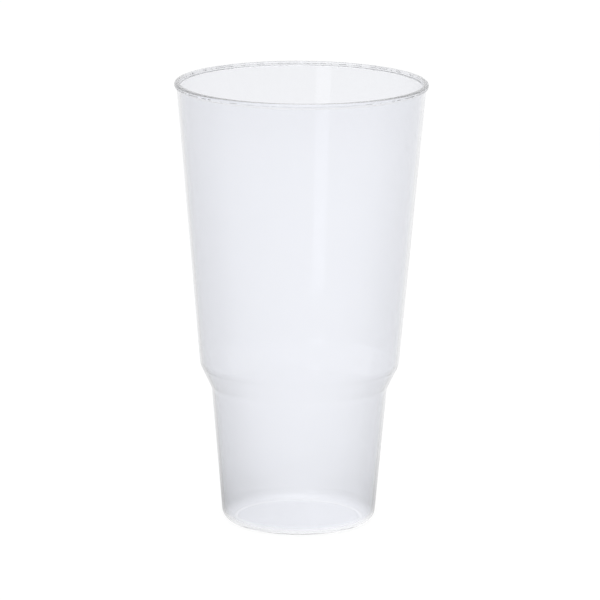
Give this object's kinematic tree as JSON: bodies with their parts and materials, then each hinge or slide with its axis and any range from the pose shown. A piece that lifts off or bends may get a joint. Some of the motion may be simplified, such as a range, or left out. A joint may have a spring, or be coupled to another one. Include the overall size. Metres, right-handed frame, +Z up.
{
  "type": "plastic tumbler cup",
  "caption": "Tall clear moulded plastic tumbler: tapered body with a beaded rim, a stepped shoulder, a narrower grip and a rounded foot over a slightly hollow floor.",
  "frame": {"origin": "centre of the ring that the foot stands on, on the surface below the cup", "axes": "+Z up along the cup's axis, towards its mouth; +X and +Y are any two level directions at right angles, and the picture looks along +Y"},
  "size_m": [0.1078, 0.1078, 0.1905],
  "materials": {
    "cup": "clear polypropylene with a cool cast, smooth as moulded"
  },
  "bodies": {
    "root": {"cup": "cup"}
  },
  "joints": []
}
